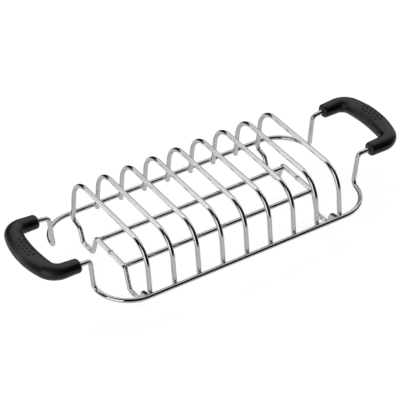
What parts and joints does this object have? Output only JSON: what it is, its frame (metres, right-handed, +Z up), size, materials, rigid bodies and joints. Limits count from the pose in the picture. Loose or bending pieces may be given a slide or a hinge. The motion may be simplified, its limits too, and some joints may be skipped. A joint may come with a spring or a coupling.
{
  "type": "toast rack",
  "caption": "Long toast rack: wire arches welded across a loop frame with folded feet, two rails inside, and a C-shaped black moulded grip at each end.",
  "frame": {"origin": "on the table, under the middle of the rack (bottom centre of its bounding box)", "axes": "+X along the rack from the left grip to the right grip, +Y across it towards the back, +Z up"},
  "size_m": [0.4, 0.1466, 0.072],
  "materials": {
    "chrome_wire": "bright chrome plate on round steel wire",
    "black_grip": "satin black moulded plastic with small anti-slip nubs",
    "plain_steel": "plain zinc-plated screw"
  },
  "bodies": {
    "root": {"arch_1": "chrome_wire", "arch_2": "chrome_wire", "arch_3": "chrome_wire", "arch_4": "chrome_wire", "arch_5": "chrome_wire", "arch_6": "chrome_wire", "arch_7": "chrome_wire", "end_ring_left": "chrome_wire", "end_ring_right": "chrome_wire", "frame_wire": "chrome_wire", "grip_lower_left": "black_grip", "grip_lower_right": "black_grip", "grip_screw_left_back": "plain_steel", "grip_screw_left_front": "plain_steel", "grip_screw_left_middle": "plain_steel", "grip_screw_right_back": "plain_steel", "grip_screw_right_front": "plain_steel", "grip_screw_right_middle": "plain_steel", "grip_upper_left": "black_grip", "grip_upper_right": "black_grip", "rail_back": "chrome_wire", "rail_front": "chrome_wire"}
  },
  "joints": []
}
